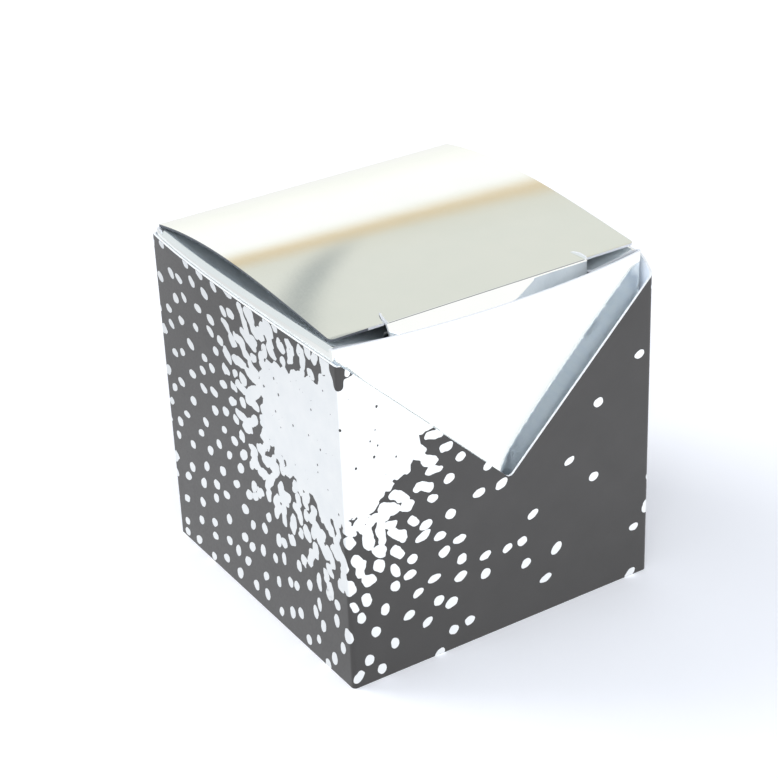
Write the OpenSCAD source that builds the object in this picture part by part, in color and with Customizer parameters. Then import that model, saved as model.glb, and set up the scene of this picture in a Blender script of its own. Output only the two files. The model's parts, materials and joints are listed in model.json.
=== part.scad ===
// Favour box of folded card, in two pieces: a printed sleeve, open at both ends, with a
// V cut from its front, and a silver tuck-top box that slides in it.
// Origin: middle of the footprint, on the table. X runs right along the notched front,
// Y runs back and Z up. Sizes are in millimetres.

/* [Card] */
// Thickness of the card that both pieces are folded from
card_t = 0.35; // [0.25:0.05:0.5]
// Outer radius of the sleeve's four folds
fold_r = 0.6; // [0.55:0.05:1.5]
// Air between the sleeve and the box, each side
slide_gap = 0.6; // [0.6:0.05:1.2]

/* [Sleeve] */
// Outer width of the sleeve, along its notched front
sleeve_w = 50; // [46:0.5:60]
// Outer depth of the sleeve, front to back
sleeve_d = 49.4; // [46:0.1:60]
// How far the box's walls stand above the sleeve's top edge
rim_show = 1; // [0:0.1:3]
// Depth of the V cut, from the sleeve's top edge to its point
notch_drop = 25.6; // [18:0.1:32]
// How far the point of the V stands right of the middle
notch_shift = 1; // [0.2:0.1:2]
// Radius at the point of the V
notch_tip_r = 0.8; // [0.4:0.1:2]
// Width of the flap that glues the sleeve shut, inside its back wall
sleeve_glue_w = 10; // [6:0.5:16]

/* [Box] */
// Height of the box's walls
box_h = 50.4; // [46:0.1:60]
// How far the front wall bows out in its middle, where the sleeve holds it
front_bow = 0.2; // [0.1:0.05:0.3]
// How much further it bows out at its rim, which stands free in the V
rim_bow = 1.5; // [0.2:0.1:2]
// Reach of the two dust flaps from the side walls
dust_reach = 15; // [11:0.5:18]
// Length of a dust flap's square shoulder, next to its fold
dust_shoulder = 6; // [4:0.25:6.5]
// Reach of the flaps under the box, from the side walls
base_reach = 18; // [12:0.5:20]
// Height of the tongue that shuts the box's base, inside its front wall
base_tuck_h = 10; // [6:0.5:14]
// Width of the flap that glues the box shut, inside its back wall
box_glue_w = 8; // [5:0.5:14]

/* [Lid] */
// Distance from the lid's back fold to its front crease
lid_l = 45.6; // [44:0.1:45.8]
// How far the lid stands back from the box's sides, each side
lid_inset = 0.1; // [0:0.05:0.5]
// Height that the lid arches above its two folds
arch_rise = 1.7; // [0.6:0.1:3]
// Height of the lid's front crease above its back fold
crease_lift = 0.15; // [0:0.05:0.6]
// Radius of the lid's two front corners
lid_corner_r = 1; // [0.5:0.25:3]
// Half the width of the tongue that tucks in
tuck_half_w = 15.9; // [12:0.1:16]
// Depth of the tongue that tucks in
tuck_depth = 10; // [6:0.5:10]
// Radius of the tongue's two lower corners
tuck_corner_r = 5; // [2:0.5:5]
// Length of the locking slit at each end of the crease
slit_l = 3.3; // [1.5:0.1:5]
// Width of a locking slit
slit_w = 0.3; // [0.15:0.05:0.6]
// Air between the lid's folded edge and the wall that it turns on
hinge_gap = 0.1; // [0.05:0.01:0.2]

/* [Print] */
// Thickness of the silver foil
foil_t = 0.04; // [0.03:0.01:0.1]
// How far the middle of the burst is below the sleeve's top edge, on the near left fold
burst_drop = 13.4; // [12:0.1:20]
// Mean radius of the solid patch in the middle
patch_r = 11; // [7:0.5:12]
// Length of a speck next to the patch
speck_l = 2.1; // [1.4:0.1:2.6]
// Width of a speck
speck_w = 1.25; // [0.8:0.05:1.5]
// Distance between the turns of the spiral that the specks lie on
speck_pitch = 1.6; // [1.5:0.05:4]
// Number that the scatter is drawn from
speck_seed = 7; // [1:1:99]

/* [Hidden] */
$fn = 48;

// Black card, foil and mirror card
BLACK_CARD = [0.25, 0.24, 0.25];
SILVER_FOIL = [0.90, 0.92, 0.93];
MIRROR_CARD = [0.80, 0.82, 0.82];

// A cut runs this far past what it cuts
past = 1;
sleeve_h = box_h - rim_show;
// The box's walls, inside the sleeve
box_w = sleeve_w - 2 * (card_t + slide_gap);
box_d = sleeve_d - 2 * (card_t + slide_gap);
wall_points = 16;
rise_steps = 6;
rim_bow_power = 3;
// The V: its left leg starts at the left fold, its right leg runs on round the right one
notch_half_w = sleeve_w / 2 + notch_shift;
notch_slope = notch_drop / notch_half_w;
notch_leg_angle = atan(notch_slope);
notch_tip_z = sleeve_h - notch_drop;
tip_points = 8;
glue_end_gap = 1;
// The lid's back fold and front crease
hinge_y = box_d / 2 - card_t / 2;
hinge_z = box_h + hinge_gap + card_t / 2;
crease_y = hinge_y - lid_l;
crease_z = hinge_z + crease_lift;
lid_w = box_w - 2 * lid_inset;
arch_points = 24;
arch_lean = 0.8;
slit_hook = 0.8;
slit_points = 6;
// Dust flaps: the shoulder fills the corner, the rest clears the tongue
dust_front_gap = 0.25;
dust_back_gap = 1.2;
dust_taper = 1.2;
dust_tip = 2.5;
tongue_air = 0.7;
dust_neck_y = crease_y + card_t + tongue_air;
// The burst
burst_z = sleeve_h - burst_drop;
speck_count = 1300;
golden_angle = 137.508;
speck_corners = 7;
patch_corners = 60;
edge_margin = 0.35;
burst_reach = 58;

// Outline of a square tube with round folds
module fold_outline(w, d, r) {
    square([w, d - 2 * r], center = true);
    square([w - 2 * r, d], center = true);
    for (sx = [-1, 1], sy = [-1, 1])
        translate([sx * (w / 2 - r), sy * (d / 2 - r)]) circle(r = r);
}

// Outline of the V in the plane of the front wall, point rounded and top run past the edge
function notch_outline() =
    let (tip_centre_z = notch_tip_z + notch_tip_r / cos(notch_leg_angle))
    let (open_x = notch_half_w + past / notch_slope)
    concat(
        [[notch_shift - open_x, sleeve_h + past]],
        [for (i = [0 : tip_points])
            let (a = 270 - notch_leg_angle + 2 * notch_leg_angle * i / tip_points)
            [notch_shift + notch_tip_r * cos(a), tip_centre_z + notch_tip_r * sin(a)]],
        [[notch_shift + open_x, sleeve_h + past]]
    );

// Part of the V that runs on round the right fold, in the plane of the right wall
function notch_round_right() =
    let (along = 2 * notch_shift)
    [
        [-sleeve_d / 2 - past, sleeve_h - (along + past) * notch_slope],
        [-sleeve_d / 2 + along + past, sleeve_h + past * notch_slope],
        [-sleeve_d / 2 - past, sleeve_h + past * notch_slope]
    ];

module notch_cut() {
    translate([0, -sleeve_d / 2 + fold_r, 0])
        rotate([90, 0, 0])
            linear_extrude(fold_r + past)
                intersection() {
                    polygon(notch_outline());
                    translate([-sleeve_w / 2, 0]) square([sleeve_w + past, sleeve_h + 2 * past]);
                }
    translate([sleeve_w / 2 - fold_r, 0, 0])
        rotate([90, 0, 90])
            linear_extrude(fold_r + past) polygon(notch_round_right());
}

module sleeve() {
    color(BLACK_CARD)
    difference() {
        union() {
            linear_extrude(sleeve_h)
                difference() {
                    fold_outline(sleeve_w, sleeve_d, fold_r);
                    fold_outline(sleeve_w - 2 * card_t, sleeve_d - 2 * card_t, fold_r - card_t);
                }
            translate([sleeve_w / 2 - card_t - sleeve_glue_w, sleeve_d / 2 - 2 * card_t, glue_end_gap])
                cube([sleeve_glue_w, card_t, sleeve_h - 2 * glue_end_gap]);
        }
        notch_cut();
    }
}

// Bow of the front wall's middle at a height: it grows from the point of the V to the rim
function rim_share(z) = within(0, (z - notch_tip_z) / (box_h - notch_tip_z), 1);
function middle_bow(z) = front_bow + rim_bow * pow(rim_share(z), rim_bow_power);
// Front wall's outer face at a share s of its width
function bowed(s, inward, z) = [
    (s - 0.5) * (box_w - 2 * inward),
    -box_d / 2 - middle_bow(z) * 4 * s * (1 - s) + inward
];
function box_outline(inward, z = 0) = concat(
    [for (i = [0 : wall_points]) bowed(i / wall_points, inward, z)],
    [[box_w / 2 - inward, box_d / 2 - inward], [-box_w / 2 + inward, box_d / 2 - inward]]
);

// Right dust flap seen from above
function dust_outline() =
    let (fold_x = box_w / 2 - card_t / 2)
    let (front_y = -box_d / 2 + card_t + dust_front_gap)
    let (back_y = box_d / 2 - card_t - dust_back_gap)
    [
        [fold_x, front_y],
        [fold_x - dust_shoulder, front_y],
        [fold_x - dust_shoulder - dust_taper, dust_neck_y],
        [fold_x - dust_reach + dust_tip, dust_neck_y + dust_tip / 2],
        [fold_x - dust_reach, dust_neck_y + 2 * dust_tip],
        [fold_x - dust_reach, back_y - 2 * dust_tip],
        [fold_x - dust_reach + dust_tip, back_y - dust_tip / 2],
        [fold_x - dust_tip, back_y],
        [fold_x, back_y]
    ];

module dust_flaps() {
    for (side = [0, 1])
        mirror([side, 0, 0])
            translate([0, 0, box_h - card_t])
                linear_extrude(card_t) polygon(dust_outline());
}

// The four walls as one ring, skinned from outlines at the base and up the height of the V
ring_heights = concat([0], [for (k = [0 : rise_steps])
    notch_tip_z + (box_h - notch_tip_z) * k / rise_steps]);
ring_corners = wall_points + 3;
function ring_points(inward) = [
    for (z = ring_heights) for (p = box_outline(inward, z)) [p[0], p[1], z]
];
function next_corner(i) = (i + 1) % ring_corners;
function wall_faces() = [
    for (k = [0 : len(ring_heights) - 2]) for (i = [0 : ring_corners - 1])
        let (low = k * ring_corners, high = low + ring_corners)
        each [
            [low + i, high + i, high + next_corner(i)],
            [low + i, high + next_corner(i), low + next_corner(i)]
        ]
];
function turned_in(faces, offset) = [
    for (f = faces) [f[2] + offset, f[1] + offset, f[0] + offset]
];
// Flat ring between the outer outline that starts at a point and the inner one below it
function rim_faces(outer, inner) = [
    for (i = [0 : ring_corners - 1]) each [
        [outer + i, inner + i, inner + next_corner(i)],
        [outer + i, inner + next_corner(i), outer + next_corner(i)]
    ]
];
module box_walls() {
    count = len(ring_heights) * ring_corners;
    top = count - ring_corners;
    polyhedron(
        points = concat(ring_points(0), ring_points(card_t)),
        faces = concat(
            wall_faces(),
            turned_in(wall_faces(), count),
            rim_faces(top, count + top),
            turned_in(rim_faces(0, count), 0)
        )
    );
}

// Base panel, the two flaps that lie on it and the tongue that stands up inside the front
module box_base() {
    linear_extrude(card_t) polygon(box_outline(card_t / 2));
    flap_d = box_d - 3 * card_t;
    for (side = [-1, 1])
        translate([side * (box_w - card_t - base_reach) / 2, 0, 1.5 * card_t])
            cube([base_reach, flap_d, card_t], center = true);
    translate([-tuck_half_w, -box_d / 2 + card_t / 2, 0])
        cube([2 * tuck_half_w, 1.5 * card_t, base_tuck_h]);
}

module box_glue_flap() {
    translate([box_w / 2 - card_t / 2 - box_glue_w, box_d / 2 - 2 * card_t, card_t])
        cube([box_glue_w, 1.5 * card_t, box_h - 3 * card_t]);
}

module inner_box() {
    color(MIRROR_CARD) {
        box_walls();
        dust_flaps();
        box_base();
        box_glue_flap();
    }
}

// Middle of the lid's card at a share s of the way from its back fold to its crease
function arch(s) = [
    hinge_y - lid_l * s + card_t / 2 * s,
    hinge_z + crease_lift * s + arch_rise * 4 * s * (1 - s) * (1 + arch_lean * (0.5 - s))
];
function lifted(p, h) = [p[0], p[1] + h];
function arch_outline() = concat(
    [for (i = [0 : arch_points]) lifted(arch(i / arch_points), card_t / 2)],
    [for (i = [arch_points : -1 : 0]) lifted(arch(i / arch_points), -card_t / 2)]
);

// Locking slit at the crease's right end, hooked towards the middle
function slit_side(sign) = [
    for (i = [0 : slit_points])
        let (s = i / slit_points)
        [tuck_half_w - slit_hook * s * s + sign * slit_w / 2, crease_y + slit_l * s]
];
function reversed(list) = [for (i = [len(list) - 1 : -1 : 0]) list[i]];
function slit_outline() =
    let (start = [tuck_half_w - slit_w / 2, crease_y - past])
    concat([start, start + [slit_w, 0]], slit_side(1), reversed(slit_side(-1)));

// Lid seen from above, with its front corners rounded and both slits cut
module lid_plan() {
    difference() {
        union() {
            translate([-lid_w / 2, crease_y + lid_corner_r])
                square([lid_w, lid_l - lid_corner_r]);
            translate([-lid_w / 2 + lid_corner_r, crease_y])
                square([lid_w - 2 * lid_corner_r, lid_l]);
            for (side = [-1, 1])
                translate([side * (lid_w / 2 - lid_corner_r), crease_y + lid_corner_r])
                    circle(r = lid_corner_r);
        }
        for (side = [0, 1])
            mirror([side, 0]) polygon(slit_outline());
    }
}

module lid_panel() {
    intersection() {
        translate([-lid_w / 2, 0, 0])
            rotate([90, 0, 90])
                linear_extrude(lid_w) polygon(arch_outline());
        translate([0, 0, box_h])
            linear_extrude(arch_rise + crease_lift + 2 * past) lid_plan();
    }
}

// A fold along X: a rod as thick as the card
module fold_rod(half_w, y, z) {
    translate([-half_w, y, z])
        rotate([0, 90, 0]) cylinder(d = card_t, h = 2 * half_w);
}

module tuck_tongue() {
    half_w = tuck_half_w - slit_w;
    translate([0, crease_y + card_t, crease_z])
        rotate([90, 0, 0])
            linear_extrude(card_t) {
                translate([-half_w, -tuck_depth + tuck_corner_r])
                    square([2 * half_w, tuck_depth - tuck_corner_r]);
                translate([-half_w + tuck_corner_r, -tuck_depth])
                    square([2 * (half_w - tuck_corner_r), tuck_depth]);
                for (side = [-1, 1])
                    translate([side * (half_w - tuck_corner_r), -tuck_depth + tuck_corner_r])
                        circle(r = tuck_corner_r);
            }
    fold_rod(half_w, crease_y + card_t / 2, crease_z);
}

module lid() {
    color(MIRROR_CARD) {
        fold_rod(lid_w / 2, hinge_y, hinge_z);
        lid_panel();
        tuck_tongue();
    }
}

// The burst is laid out flat on both faces: u runs from the near left fold, positive on the
// front face and negative on the left one, and v is the height
function within(low, value, high) = min(max(value, low), high);
function below_v_left(u, v) = (sleeve_h - notch_slope * u - v) * cos(notch_leg_angle);
function below_v_right(u, v) =
    (notch_tip_z + notch_slope * (u - notch_half_w) - v) * cos(notch_leg_angle);
function below_v(u, v) = max(below_v_left(u, v), u > notch_half_w ? below_v_right(u, v) : -1);
function face_room(u, v, face_l) = min(abs(u) - fold_r, face_l - fold_r - abs(u), v, sleeve_h - v);

// Ragged radius of the middle patch in a direction, cut at the V and at the top edge
ragged = rands(0.82, 1.18, patch_corners, speck_seed);
function patch_radius(i) =
    let (a = 360 * i / patch_corners - 90)
    let (to_v = cos(a) * notch_slope + sin(a))
    let (v_limit = to_v > 0.05 && cos(a) >= 0 ? (sleeve_h - burst_z) / to_v : 2 * burst_reach)
    let (top_limit = sin(a) > 0.05 ? (sleeve_h - burst_z) / sin(a) : 2 * burst_reach)
    min(patch_r * ragged[i % patch_corners], v_limit - edge_margin / 2, top_limit - edge_margin / 2);
function patch_point(i) =
    let (a = 360 * i / patch_corners - 90)
    let (across = patch_radius(i) * cos(a))
    let (up = patch_radius(i) * sin(a))
    [across, burst_z + up];
patch_half = patch_corners / 2;

// Specks on a sunflower spiral, each with some scatter, longer near the middle
scatter_u = rands(-0.55, 0.55, speck_count, speck_seed + 1);
scatter_v = rands(-0.55, 0.55, speck_count, speck_seed + 2);
chance = rands(0, 1, speck_count, speck_seed + 3);
function speck_distance(n) = speck_pitch * sqrt(n);
function speck_place(n) =
    let (r = speck_distance(n))
    let (a = n * golden_angle)
    [r * cos(a) + scatter_u[n], burst_z + r * sin(a) + scatter_v[n]];
// The share of specks that are printed falls with distance, and faster on the front
function speck_share(u, r) = u > 0 ? within(0.16, 1.4 - r / 30, 1) : within(0.34, 1.4 - r / 42, 1);
function speck_size(r) = within(0.62, 1.15 - r / 90, 1);
function speck_room(p) =
    p[0] > 0 ? min(face_room(p[0], p[1], sleeve_w), below_v(p[0], p[1]))
             : face_room(p[0], p[1], sleeve_d);
function printed(n) =
    let (p = speck_place(n))
    let (r = norm(p - [0, burst_z]))
    r > patch_r * 1.18 + speck_l / 2
        && r < burst_reach
        && speck_room(p) > speck_l / 2 + edge_margin
        && chance[n] < speck_share(p[0], r);
function speck_outline(p) =
    let (from_middle = p - [0, burst_z])
    let (r = norm(from_middle))
    let (along = from_middle / r)
    let (across = [-along[1], along[0]])
    let (half_l = speck_l / 2 * speck_size(r))
    let (half_w = min(speck_w / 2, half_l))
    [for (k = [0 : speck_corners - 1])
        let (a = 360 * k / speck_corners)
        p + half_l * cos(a) * along + half_w * sin(a) * across];

module on_front_face() {
    translate([-sleeve_w / 2, -sleeve_d / 2, 0])
        rotate([90, 0, 0]) linear_extrude(foil_t) children();
}
module on_left_face() {
    translate([-sleeve_w / 2 - foil_t, -sleeve_d / 2, 0])
        rotate([90, 0, 90]) linear_extrude(foil_t) children();
}
module mirrored_u() {
    mirror([1, 0]) children();
}

// Half of the patch on one face, from the end of the fold's curve outwards
module patch_on_front() {
    intersection() {
        polygon([for (i = [0 : patch_half]) patch_point(i)]);
        translate([fold_r, 0]) square([sleeve_w, sleeve_h]);
    }
}
module patch_on_left() {
    intersection() {
        polygon([for (i = [patch_half : patch_corners]) patch_point(i)]);
        translate([-sleeve_d, 0]) square([sleeve_d - fold_r, sleeve_h]);
    }
}
// The patch carried round the fold, as high as it is there
module patch_round_fold() {
    low = patch_point(0)[1] + edge_margin;
    high = patch_point(patch_half)[1] - edge_margin - fold_r;
    translate([-sleeve_w / 2 + fold_r, -sleeve_d / 2 + fold_r, low])
        linear_extrude(high - low)
            intersection() {
                difference() {
                    circle(r = fold_r + foil_t);
                    circle(r = fold_r);
                }
                translate([-2 * fold_r, -2 * fold_r]) square(2 * fold_r);
            }
}

module silver_print() {
    color(SILVER_FOIL) {
        on_front_face() patch_on_front();
        on_left_face() mirrored_u() patch_on_left();
        patch_round_fold();
        for (n = [1 : speck_count - 1])
            if (printed(n)) {
                p = speck_place(n);
                if (p[0] > 0)
                    on_front_face() polygon(speck_outline(p));
                else
                    on_left_face() mirrored_u() polygon(speck_outline(p));
            }
    }
}

sleeve();
silver_print();
inner_box();
lid();
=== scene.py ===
"""Looks of the favor box: folded card, silver print, floor, lights and camera.

Every piece of card is cut flat as a blank and folded along a path, as the real one is.
Sizes are in millimetres in this script's own sums, and in metres in the meshes.
"""
import json
import math

import bpy
import numpy as np
from mathutils import Matrix, Vector
from mathutils.geometry import delaunay_2d_cdt


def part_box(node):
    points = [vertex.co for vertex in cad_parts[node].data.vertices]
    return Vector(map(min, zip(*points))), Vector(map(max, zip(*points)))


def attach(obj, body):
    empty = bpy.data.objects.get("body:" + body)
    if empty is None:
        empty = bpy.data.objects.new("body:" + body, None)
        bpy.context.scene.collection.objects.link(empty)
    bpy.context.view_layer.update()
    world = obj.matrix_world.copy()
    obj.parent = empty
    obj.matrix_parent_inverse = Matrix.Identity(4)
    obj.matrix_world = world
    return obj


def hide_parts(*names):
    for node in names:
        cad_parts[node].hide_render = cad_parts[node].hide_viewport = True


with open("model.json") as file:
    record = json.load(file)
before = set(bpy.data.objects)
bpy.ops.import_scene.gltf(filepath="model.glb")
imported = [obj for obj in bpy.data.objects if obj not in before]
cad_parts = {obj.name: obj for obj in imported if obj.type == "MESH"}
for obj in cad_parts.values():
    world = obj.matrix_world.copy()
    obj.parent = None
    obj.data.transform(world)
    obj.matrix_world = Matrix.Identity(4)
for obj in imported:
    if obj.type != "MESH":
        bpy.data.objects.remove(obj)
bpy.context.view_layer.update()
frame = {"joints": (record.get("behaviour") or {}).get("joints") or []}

MM = 0.001


def corners_mm(node):
    """Lowest and highest corner of a CAD node, in millimetres."""
    low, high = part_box(node)
    return np.array(low) / MM, np.array(high) / MM


# Card and its folds
CARD_T = 0.35
SLEEVE_FOLD_R = 0.6
FOLD_MIDDLE = 0.176
BOX_FOLD_R = 0.45
CREASE_R = 0.42

# The sleeve and its V
sleeve_low, sleeve_high = corners_mm("sleeve")
SLEEVE_W = sleeve_high[0] - sleeve_low[0]
SLEEVE_D = sleeve_high[1] - sleeve_low[1]
SLEEVE_H = sleeve_high[2]
NOTCH_DROP = 25.6
NOTCH_SHIFT = 1.0
NOTCH_TIP_R = 0.8
NEAR_DROP = 0.65
SIDE_BOW = 0.82
SLEEVE_GLUE_W = 10.0

# The inner box
box_low, box_high = corners_mm("inner_box")
BOX_W = box_high[0] - box_low[0]
BOX_BACK = box_high[1]
BOX_H = box_high[2]
BOX_BACK_HALF_W = 24.35
BOX_LEFT = -24.6
BOX_FRONT_LEFT = -23.3
BOX_FRONT_RIGHT = -23.1
BOX_GLUE_W = 8.0
FRONT_INNER_Y = -22.6
RIM_BOW = 2.45
RIM_BOW_X = 0.5
RIM_BOW_POWER = 2.2
RIGHT_FLANK_INSET = 1.6
LEG_PRESS = 0.95
LEG_PRESS_FADE = 7.0
DUST_FRONT_Y = -22.5
DUST_BACK_GAP = 1.2
DUST_FOLD_DROP = 0.9
DUST_REACH = 15.0
DUST_SLOPE = 0.13
DUST_SHOULDER = 7.6
DUST_TIP = 2.5
SCORE_W = 0.75
SCORE_DROP = 0.4
SCORE_R = 0.14
TONGUE_AIR = 0.7
BASE_REACH = 18.0
BASE_TUCK_H = 10.0
BASE_TIP = 3.0

# The lid
lid_low, lid_high = corners_mm("lid")
LID_W = lid_high[0] - lid_low[0]
LID_BACK_W = 48.7
CREASE_Y = lid_low[1]
hinge = next(j for j in frame["joints"] if j["name"] == "lid_hinge")
HINGE_Y, HINGE_Z = (v / MM for v in hinge["pos_m"][1:])
CREASE_LIFT = 0.15
ARCH_RISE = 1.7
ARCH_LEAN = 0.8
ARCH_STEPS = 120
TUCK_HALF_W = 15.9
TUCK_DEPTH = 10.0
TUCK_SLOPE = 0.12
TUCK_FLARE = 0.6
TUCK_CORNER_R = 5.0
LID_CORNER_R = 0.7
SHOULDER_CUT = 0.3
SLIT_L = 2.2
SLIT_W = 0.2
SLIT_HOOK = 0.6
SLIT_TAPER = 0.4
CURL_W = 0.42
CURL_H = 0.3

# The silver burst on the sleeve
FOIL_T = 0.02
BURST_U = -6.5
BURST_Z = SLEEVE_H - 13.4
BURST_SEED = 11
SPIRAL_FROM, SPIRAL_TO = 6.0, 72.0
FAR_SPECK_SLANT = 22
BARE_HALF_W = 1.45
BARE_DROP = 3.5
FIELD_STEP = 0.18
CROWD_REACH = 25.0
FOLD_STRIP = 3.2
FAR_FOLDS = (-SLEEVE_D, SLEEVE_W)


# Paths that card folds along

def ease(t):
    """Smooth step of a share from 0 to 1."""
    return t * t * (3 - 2 * t)


class Path:
    """A line in a plane, with the outer face's normal at each point and the distance along."""

    def __init__(self, points, normals):
        self.p = np.array(points, float)
        self.n = np.array(normals, float)
        steps = np.linalg.norm(np.diff(self.p, axis=0), axis=1)
        self.s = np.concatenate([[0.0], np.cumsum(steps)])

    @property
    def length(self):
        return self.s[-1]

    def at(self, s):
        """Point and outer normal at a distance along."""
        p, n = (np.stack([np.interp(s, self.s, v[:, k]) for k in (0, 1)], -1) for v in (self.p, self.n))
        return p, n / np.linalg.norm(n, axis=-1, keepdims=True)

    def nearest(self, point):
        """Distance along at which the path passes closest to a point."""
        fine = np.linspace(0.0, self.length, 20001)
        p, _ = self.at(fine)
        return fine[np.argmin(np.linalg.norm(p - np.array(point), axis=1))]


def folded_path(corners, radius, arc_steps=8, margin=0.25):
    """Path through corners, each rounded and with a margin line on both sides of the round,
    with the outer face on its left."""
    corners = [np.array(c, float) for c in corners]
    points, normals = [corners[0]], []
    for before, corner, after in zip(corners, corners[1:], corners[2:]):
        a = (corner - before) / np.linalg.norm(corner - before)
        b = (after - corner) / np.linalg.norm(after - corner)
        turn = math.atan2(a[0] * b[1] - a[1] * b[0], a @ b)
        left = np.array([-a[1], a[0]])
        tangent = radius * math.tan(abs(turn) / 2)
        centre = corner - a * tangent + left * math.copysign(radius, turn)
        start = corner - a * tangent - centre
        if not normals:
            normals.append(left)
        points.append(corner - a * (tangent + margin))
        normals.append(left)
        for i in range(arc_steps + 1):
            angle = turn * i / arc_steps
            spin = np.array([[math.cos(angle), -math.sin(angle)], [math.sin(angle), math.cos(angle)]])
            points.append(centre + spin @ start)
            normals.append(spin @ left)
        points.append(corner + b * (tangent + margin))
        normals.append(np.array([-b[1], b[0]]))
    points.append(corners[-1])
    normals.append(normals[-1])
    return Path(points, normals)


# Card cut flat and folded

def inside(loop, points):
    """Which points lie inside a closed outline, by counting crossings."""
    x, y = points[:, 0], points[:, 1]
    hit = np.zeros(len(points), bool)
    for (x0, y0), (x1, y1) in zip(loop, np.roll(loop, -1, axis=0)):
        if y0 == y1:
            continue
        crosses = (y0 > y) != (y1 > y)
        hit ^= crosses & (x < x0 + (y - y0) / (y1 - y0) * (x1 - x0))
    return hit


def blank(loop, s_lines, w_lines):
    """Triangles that fill a flat outline, split along the lines where the card bends."""
    loop = np.array(loop, float)
    low, high = loop.min(axis=0) - 1.0, loop.max(axis=0) + 1.0
    points = [tuple(p) for p in loop]
    edges = [(i, (i + 1) % len(loop)) for i in range(len(loop))]
    ends = [((s, low[1]), (s, high[1])) for s in s_lines if low[0] < s < high[0]]
    ends += [((low[0], w), (high[0], w)) for w in w_lines if low[1] < w < high[1]]
    for start, end in ends:
        edges.append((len(points), len(points) + 1))
        points += [start, end]
    flat, _, faces, *_ = delaunay_2d_cdt([Vector(p) for p in points], edges, [], 0, 1e-4)
    flat = np.array([tuple(v) for v in flat])
    faces = np.array([f for f in faces if len(f) == 3])
    a, b, c = (flat[faces[:, k]] for k in range(3))
    area = (b[:, 0] - a[:, 0]) * (c[:, 1] - a[:, 1]) - (b[:, 1] - a[:, 1]) * (c[:, 0] - a[:, 0])
    faces[area < 0] = faces[area < 0][:, ::-1]
    keep = inside(loop, (a + b + c) / 3) & (np.abs(area) > 1e-7)
    faces = faces[keep]
    used, faces = np.unique(faces, return_inverse=True)
    return flat[used], faces.reshape(-1, 3)


def border(faces):
    """Edges that only one triangle has, in that triangle's direction."""
    edges = np.concatenate([faces[:, [0, 1]], faces[:, [1, 2]], faces[:, [2, 0]]])
    there = {tuple(e) for e in edges}
    return np.array([e for e in there if (e[1], e[0]) not in there])


def card(path, place, loop, w_step=2.5, s_step=2.5, shift=None):
    """A closed sheet: outer face, inner face and cut edge, folded along a path.

    place puts (in-plane point, distance across) into space, and shift moves the finished
    sheet a little, as a function of its outer points.
    """
    loop = np.array(loop, float)
    s_lines = set(np.round(path.s[1:-1], 4))
    s_lines |= set(np.round(np.arange(loop[:, 0].min() + s_step, loop[:, 0].max(), s_step), 4))
    s_lines = sorted(s_lines)
    s_lines = [s for i, s in enumerate(s_lines) if i == 0 or s - s_lines[i - 1] > 0.03]
    w_lines = np.arange(loop[:, 1].min() + w_step, loop[:, 1].max() - w_step / 3, w_step)
    flat, faces = blank(loop, s_lines, w_lines)
    p, n = path.at(flat[:, 0])
    outer = place(p, flat[:, 1])
    inner = place(p - n * CARD_T, flat[:, 1])
    if shift is not None:
        moved = shift(outer)
        outer, inner = outer + moved, inner + moved
    out_way = outer - inner
    a, b, c = (outer[faces[:, k]] for k in range(3))
    facing = np.einsum("ij,ij->i", np.cross(b - a, c - a), out_way[faces[:, 0]])
    if facing.sum() < 0:
        faces = faces[:, ::-1]
    rim = border(faces)
    count = len(flat)
    sides = np.stack([rim[:, 1], rim[:, 0], rim[:, 0] + count, rim[:, 1] + count], -1)
    return {
        "points": np.concatenate([outer, inner]),
        "faces": [list(f) for f in [*faces, *(faces[:, ::-1] + count), *sides]],
        "slots": [0] * len(faces) + [1] * len(faces) + [2] * len(sides),
        "flat": np.concatenate([flat, flat]),
    }


def rod(half_w, y, z, radius, sides=16):
    """A closed rod along X, as the rounded back of the fold that the lid turns on."""
    angles = np.arange(sides) * 2 * math.pi / sides
    ring = np.stack([np.cos(angles), np.sin(angles)], -1) * radius + [y, z]
    ends = [np.column_stack([np.full(sides, x), ring]) for x in (-half_w, half_w)]
    walls = [[i, (i + 1) % sides, sides + (i + 1) % sides, sides + i] for i in range(sides)]
    caps = [list(range(sides))[::-1], list(range(sides, 2 * sides))]
    points = np.concatenate(ends)
    return {
        "points": points,
        "faces": [w[::-1] for w in walls] + [c[::-1] for c in caps],
        "slots": [0] * sides + [2, 2],
        "flat": points[:, :2],
    }


def make_mesh(name, parts, materials):
    """One mesh object from several closed parts, smooth but for its cut edges."""
    points, faces, slots, flat, count = [], [], [], [], 0
    for part in parts:
        points.append(part["points"])
        flat.append(part["flat"])
        faces += [[int(i) + count for i in f] for f in part["faces"]]
        slots += part["slots"]
        count += len(part["points"])
    points = np.concatenate(points) * MM
    flat = np.concatenate(flat)
    mesh = bpy.data.meshes.new(name)
    mesh.from_pydata(points.tolist(), [], faces)
    for material in materials:
        mesh.materials.append(material)
    mesh.polygons.foreach_set("material_index", slots)
    mesh.polygons.foreach_set("use_smooth", [True] * len(faces))
    uv = mesh.uv_layers.new(name="blank")
    loops = np.zeros(len(mesh.loops), np.int32)
    mesh.loops.foreach_get("vertex_index", loops)
    uv.data.foreach_set("uv", (flat[loops] * MM).ravel())
    mesh.set_sharp_from_angle(angle=math.radians(40))
    return add_object(name, mesh)


def add_object(name, data):
    """A new object in the scene."""
    obj = bpy.data.objects.new(name, data)
    bpy.context.scene.collection.objects.link(obj)
    return obj


# Shader nodes

def linear(code):
    """Linear colour of an sRGB hex value such as 'f2f4f5'."""
    values = [int(code[i:i + 2], 16) / 255 for i in (0, 2, 4)]
    return tuple(v / 12.92 if v <= 0.04045 else ((v + 0.055) / 1.055) ** 2.4 for v in values) + (1.0,)


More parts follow.
